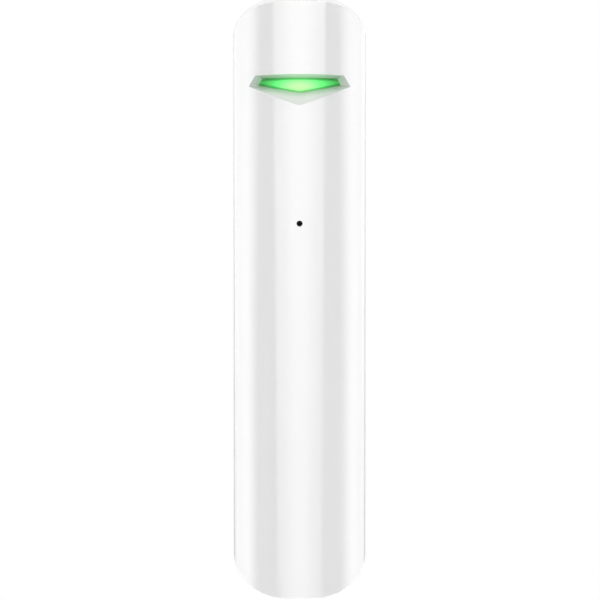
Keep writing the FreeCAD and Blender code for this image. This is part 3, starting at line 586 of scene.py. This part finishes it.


# Light guide: clear window lit green from behind, brightest round its lamp, with painted shade along its
# rim

guide = {
    "stops": [(0.0, (0.58, 1.4, 0.42)), (0.2, (0.55, 1.35, 0.41)), (0.33, (0.41, 1.25, 0.37)),
              (0.46, (0.29, 1.15, 0.31)), (0.6, (0.16, 1.0, 0.23)), (0.75, (0.10, 0.74, 0.16)),
              (1.0, (0.06, 0.42, 0.08))],       # from the lamp outwards
    "reach": 5.6,                   # mm, where the stops end
    "flatness": 2.6,                # how much faster the glow falls upwards than sideways
    "height": 32.05,                # mm above the middle of the sensor
    "rim": (0.42, 0.46, 0.40),      # share of the glow left at the rim, as painted shade
    "rimWidth": (0.15, 0.46),
    "halfWidth": 6.2,               # mm, window at its side corners
    "top": 33.37, "topSag": 0.36,
    "tip": 31.11, "corner": 32.09,
    "glow": 1.0,
    "colour": (0.03, 0.12, 0.04), "roughness": 0.4, "ior": 1.15,
}


def guideMaterial():
    material, tree, shader = newMaterial("litGreen")
    x, _, z = axes(tree)
    rise = mathNode(tree, "MULTIPLY", mathNode(tree, "SUBTRACT", z, guide["height"]), guide["flatness"])
    fromLamp = mathNode(tree, "SQRT", mathNode(tree, "ADD", mathNode(tree, "MULTIPLY", x, x),
                                               mathNode(tree, "MULTIPLY", rise, rise)))
    colour = ramp(tree, mathNode(tree, "DIVIDE", fromLamp, guide["reach"]), guide["stops"])
    # How far a point lies from the top edge and from the lower edges
    across = mathNode(tree, "DIVIDE", mathNode(tree, "ABSOLUTE", x), guide["halfWidth"])
    sag = mathNode(tree, "MULTIPLY", mathNode(tree, "MULTIPLY", across, across), guide["topSag"])
    lowEdge = mathNode(tree, "MULTIPLY_ADD", across, guide["corner"] - guide["tip"], guide["tip"])
    fromTop = mathNode(tree, "SUBTRACT", mathNode(tree, "SUBTRACT", guide["top"], sag), z)
    fromLow = mathNode(tree, "SUBTRACT", z, lowEdge)
    nearest = mathNode(tree, "MINIMUM", fromTop, fromLow)
    # Painted shade: the glow is dimmed in a narrow band along the top and lower edges
    inside = span(tree, nearest, 0.0, 1.0, *guide["rimWidth"], smooth=True)
    paintedRimShade = mixed(tree, inside, guide["rim"], (1.0, 1.0, 1.0))
    tree.links.new(mixed(tree, 1.0, colour, paintedRimShade, blend="MULTIPLY"), shader.inputs["Emission Color"])
    shader.inputs["Emission Strength"].default_value = guide["glow"]
    shader.inputs["Base Color"].default_value = (*guide["colour"], 1)
    shader.inputs["Roughness"].default_value = guide["roughness"]
    shader.inputs["IOR"].default_value = guide["ior"]
    return material


dress("light_guide", guideMaterial())
print("light guide lit")


# Parts inside: one finish each, or two where a piece is made of two materials

tin = {"colour": (0.62, 0.62, 0.61), "roughness": (0.22, 0.38), "metal": 1.0}
nickel = {"colour": (0.62, 0.59, 0.52), "roughness": (0.2, 0.35), "metal": 1.0, "marks": (1, 1, 0.1)}
springSteel = {"colour": (0.55, 0.55, 0.56), "roughness": (0.22, 0.34), "metal": 1.0}
zinc = {"colour": (0.52, 0.53, 0.56), "roughness": (0.25, 0.4), "metal": 1.0}
satinCan = {"colour": (0.6, 0.6, 0.61), "roughness": (0.22, 0.36), "metal": 1.0, "marks": (0.2, 1, 1)}
epoxy = {"colour": (0.02, 0.02, 0.022), "roughness": (0.4, 0.6)}
blackPlastic = {"colour": (0.045, 0.045, 0.048), "roughness": (0.35, 0.5)}

singles = {
    "chassis_screws": zinc,
    "light_shroud": {"colour": (0.03, 0.03, 0.03), "roughness": (0.5, 0.65)},
    "microphone_boot": {"colour": (0.025, 0.025, 0.027), "roughness": (0.6, 0.75)},
    "microphone_capsule": satinCan,
    "positive_contact": nickel,
    "negative_contact": nickel,
    "antenna": nickel,
    "battery_spring": springSteel,
    "tamper_spring": springSteel,
    "tamper_plunger": {"colour": (0.72, 0.71, 0.66), "roughness": (0.3, 0.42)},
    "power_button": {"colour": (0.5, 0.5, 0.51), "roughness": (0.35, 0.5)},
    "radio_shield": {**tin, "marks": (0.2, 1, 1)},
}


def dressSingles():
    for name, look in singles.items():
        dress(name, finish(name + "Finish", look))


def addBand(material, colour, low, high):
    # A printed band round a piece, between two heights
    tree = material.node_tree
    socket = tree.nodes["Principled BSDF"].inputs["Base Color"]
    before = socket.links[0].from_socket
    z = axes(tree)[2]
    where = mathNode(tree, "MULTIPLY", over(tree, z, low), below(tree, z, high))
    tree.links.new(mixed(tree, where, before, colour), socket)


# Pieces made of two materials: their looks, and in mm where the one passes into the other
pairs = {
    "lamp": {"body": {"colour": (0.78, 0.77, 0.7), "roughness": (0.35, 0.45)},
             "lens": {"colour": (0.5, 0.85, 0.42), "roughness": (0.08, 0.16)},
             "lensDepth": 0.31},
    "cell": {"wrap": {"colour": (0.02, 0.035, 0.11), "roughness": (0.15, 0.28)},
             "bandColour": (0.55, 0.57, 0.6), "band": 6.5,      # a light band at the lower end
             "lowEnd": 0.5, "highEnd": 1.2},                    # bare metal
    "switch": {"halfBody": 3.01},
    "chip": {"padDepth": 0.05},
    "amplifier": {"leadRoom": 0.01},
    # A row's middle, from its outer side, and its metal ends, from that middle
    "capacitors": {"body": {"colour": (0.36, 0.25, 0.15), "roughness": (0.3, 0.45)},
                   "toMiddle": 0.8, "toEnds": 0.5},
    "crystal": {"base": {"colour": (0.3, 0.25, 0.2), "roughness": (0.4, 0.5)}, "baseDepth": 0.35},
    "can": {"foot": 0.5},
}


def dressLamp():
    lamp = pairs["lamp"]
    lensEnd = boxOf("status_led")[0].y + lamp["lensDepth"]
    dress("status_led", finish("lampBody", lamp["body"], lamp["lens"],
                               lambda tree, x, y, z: below(tree, y, lensEnd)))


def dressCell():
    cell = pairs["cell"]
    low, high, _ = boxOf("battery_cell")
    bareLow, bareHigh = low.z + cell["lowEnd"], high.z - cell["highEnd"]

    def bareMetal(tree, x, y, z):
        return mathNode(tree, "MAXIMUM", over(tree, z, bareHigh), below(tree, z, bareLow))

    material = finish("cellWrap", cell["wrap"], tin, bareMetal)
    addBand(material, cell["bandColour"], bareLow, low.z + cell["band"])
    dress("battery_cell", material)


def dressSwitches():
    halfBody = pairs["switch"]["halfBody"]
    for name in ("tamper_switch_body", "power_switch_body"):
        middle = boxOf(name)[2].z
        dress(name, finish(name + "Finish", blackPlastic, tin,
                           lambda tree, x, y, z, at=middle: over(tree, off(tree, z, at), halfBody)))


def dressChips():
    chipLow, chipHigh, chip = boxOf("microcontroller")
    padStart = (chipHigh.x - chipLow.x) / 2 - pairs["chip"]["padDepth"]

    def pads(tree, x, y, z):
        reach = mathNode(tree, "MAXIMUM", off(tree, x, chip.x), off(tree, z, chip.z))
        return over(tree, reach, padStart)

    dress("microcontroller", finish("chipEpoxy", epoxy, tin, pads))

    ampLow, ampHigh, amp = boxOf("amplifier_chip")
    leadStart = (ampHigh.x - ampLow.x) / 2 + pairs["amplifier"]["leadRoom"]
    dress("amplifier_chip", finish("amplifierEpoxy", epoxy, tin,
                                   lambda tree, x, y, z: over(tree, off(tree, z, amp.z), leadStart)))


def dressCapacitors():
    row = pairs["capacitors"]
    rowX = boxOf("chip_capacitors")[1].x - row["toMiddle"]
    dress("chip_capacitors", finish(
        "firedCeramic", row["body"], tin,
        lambda tree, x, y, z: over(tree, off(tree, mathNode(tree, "ABSOLUTE", x), rowX), row["toEnds"])))

    footEnd = boxOf("reservoir_capacitor")[0].y + pairs["can"]["foot"]
    dress("reservoir_capacitor", finish("capacitorFoot", blackPlastic, satinCan,
                                        lambda tree, x, y, z: over(tree, y, footEnd)))


def dressCrystal():
    crystal = pairs["crystal"]
    lidStart = boxOf("crystal")[0].y + crystal["baseDepth"]
    dress("crystal", finish("crystalCeramic", crystal["base"], satinCan,
                            lambda tree, x, y, z: over(tree, y, lidStart)))


board = {
    "mask": {"colour": (0.02, 0.13, 0.05), "roughness": (0.25, 0.4), "grain": 0.3, "grainDepth": 0.03},
    "core": {"colour": (0.42, 0.36, 0.2), "roughness": (0.55, 0.7)},
    "skin": 0.46,                   # mm from the middle of the board to where its coloured skin starts
    "trackPitch": 0.9, "trackShare": 0.34, "trackTint": (0.035, 0.2, 0.075),
    "bendScale": (0.02, 0.02, 0.35), "bendSteps": 6.0, "trackBend": 1.6,
    "ring": (1.95, 2.75),           # bare metal round the bosses' holes
    "screwHead": 1.7,               # radius
}


def boardMaterial():
    middle = boxOf("main_board")[2]
    low, high, _ = boxOf("chassis_screws")
    head = board["screwHead"]
    holes = [(0.0, high.z - head), (high.x - head, low.z + head), (low.x + head, low.z + head)]

    material = finish("boardMask", board["mask"], board["core"],
                      lambda tree, x, y, z: below(tree, off(tree, y, middle.y), board["skin"]))
    tree = material.node_tree
    shader = tree.nodes["Principled BSDF"]
    x, y, z = axes(tree)
    # Tracks run along the board and step sideways together here and there
    wander = noise(tree, millimetres(tree, board["bendScale"]), 1.0)
    bend = mathNode(tree, "ROUND", mathNode(tree, "MULTIPLY", wander, board["bendSteps"]))
    bend = mathNode(tree, "MULTIPLY", bend, board["trackBend"])
    phase = mathNode(tree, "DIVIDE", mathNode(tree, "ADD", x, bend), board["trackPitch"])
    track = below(tree, mathNode(tree, "FRACT", phase), board["trackShare"])
    skin = over(tree, off(tree, y, middle.y), board["skin"])
    before = shader.inputs["Base Color"].links[0].from_socket
    colour = mixed(tree, mathNode(tree, "MULTIPLY", track, skin), before, board["trackTint"])
    ringed = 0.0
    for holeX, holeZ in holes:
        dx, dz = mathNode(tree, "SUBTRACT", x, holeX), mathNode(tree, "SUBTRACT", z, holeZ)
        reach = mathNode(tree, "SQRT", mathNode(tree, "ADD", mathNode(tree, "MULTIPLY", dx, dx),
                                                mathNode(tree, "MULTIPLY", dz, dz)))
        here = mathNode(tree, "MULTIPLY", over(tree, reach, board["ring"][0]),
                        below(tree, reach, board["ring"][1]))
        ringed = mathNode(tree, "MAXIMUM", here, ringed)
    tree.links.new(mixed(tree, ringed, colour, tin["colour"]), shader.inputs["Base Color"])
    tree.links.new(ringed, shader.inputs["Metallic"])
    return material


dustMesh = {
    # spread: how far the painted shade darkens the weave's hollows and lightens its crests
    "colour": (0.012, 0.012, 0.012), "spread": 0.6, "roughness": (0.6, 0.8),
    "pitch": 0.12, "relief": 0.8, "threadDepth": 0.04,      # mm
}


def meshMaterial():
    # Fine plain weave: threads rise and fall in turn along X and Z
    material, tree, shader = newMaterial("wovenMesh")
    x, _, z = axes(tree)
    waves = [mathNode(tree, "SINE", mathNode(tree, "MULTIPLY", value, math.pi / dustMesh["pitch"]))
             for value in (x, z)]
    weave = mathNode(tree, "MULTIPLY", *waves)
    relief = addNode(tree, "ShaderNodeBump")
    relief.inputs["Strength"].default_value = dustMesh["relief"]
    relief.inputs["Distance"].default_value = dustMesh["threadDepth"] * mm
    tree.links.new(weave, relief.inputs["Height"])
    tree.links.new(relief.outputs["Normal"], shader.inputs["Normal"])
    # Painted shade: the colour is darker where the weave dips and lighter where it rises
    dark, light = shades(dustMesh["colour"], dustMesh["spread"])
    height = span(tree, weave, 0.0, 1.0, -1.0, 1.0)
    tree.links.new(ramp(tree, height, [(0.0, dark), (1.0, light)]), shader.inputs["Base Color"])
    tree.links.new(span(tree, weave, *dustMesh["roughness"], -1.0, 1.0), shader.inputs["Roughness"])
    return material


dressSingles()
dressLamp()
dressCell()
dressSwitches()
dressChips()
dressCapacitors()
dressCrystal()
dress("main_board", boardMaterial())
dress("microphone_mesh", meshMaterial())
print("inside dressed")
